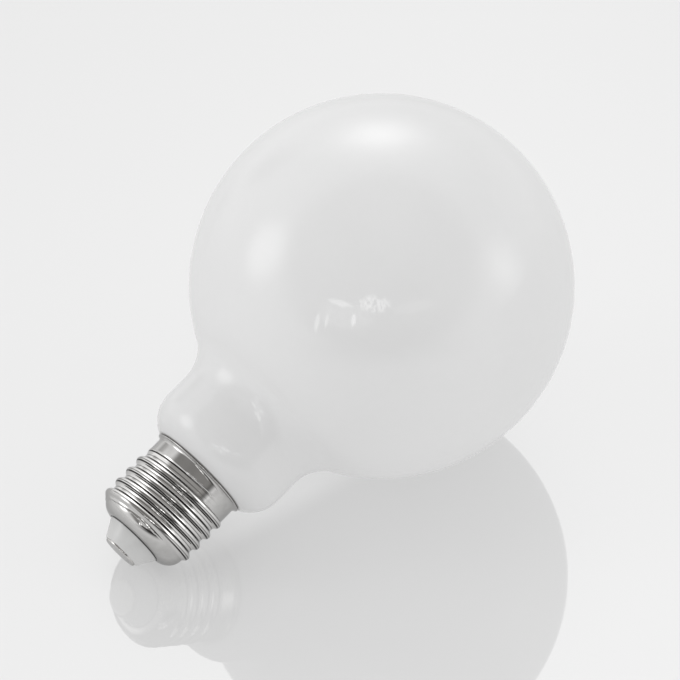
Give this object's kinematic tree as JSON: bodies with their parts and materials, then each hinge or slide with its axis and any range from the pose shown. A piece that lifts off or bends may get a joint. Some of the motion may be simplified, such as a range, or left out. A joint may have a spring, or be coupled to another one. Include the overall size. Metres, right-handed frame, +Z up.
{
  "type": "globe bulb",
  "caption": "Milky glass globe bulb with a short neck and a plated right-hand screw cap, lying on its globe and cap.",
  "frame": {"origin": "on the floor, under the middle of the box of the bulb as it lies at rest on its globe and cap", "axes": "+Z up, +X along the floor from the cap towards the globe; the bulb's axis lies in the XZ plane and slopes down towards the cap by 25.8 degrees"},
  "size_m": [0.1326, 0.095, 0.095],
  "materials": {
    "opal_glass": "milky glass, opaque to the eye, smooth and glossy outside",
    "plated_shell": "bright nickel plate on thin rolled sheet",
    "insulator": "smooth pale grey moulding",
    "plated_contact": "bright nickel plate"
  },
  "bodies": {
    "root": {"glass_globe": "opal_glass", "screw_shell": "plated_shell", "insulator": "insulator", "centre_contact": "plated_contact"}
  },
  "joints": []
}
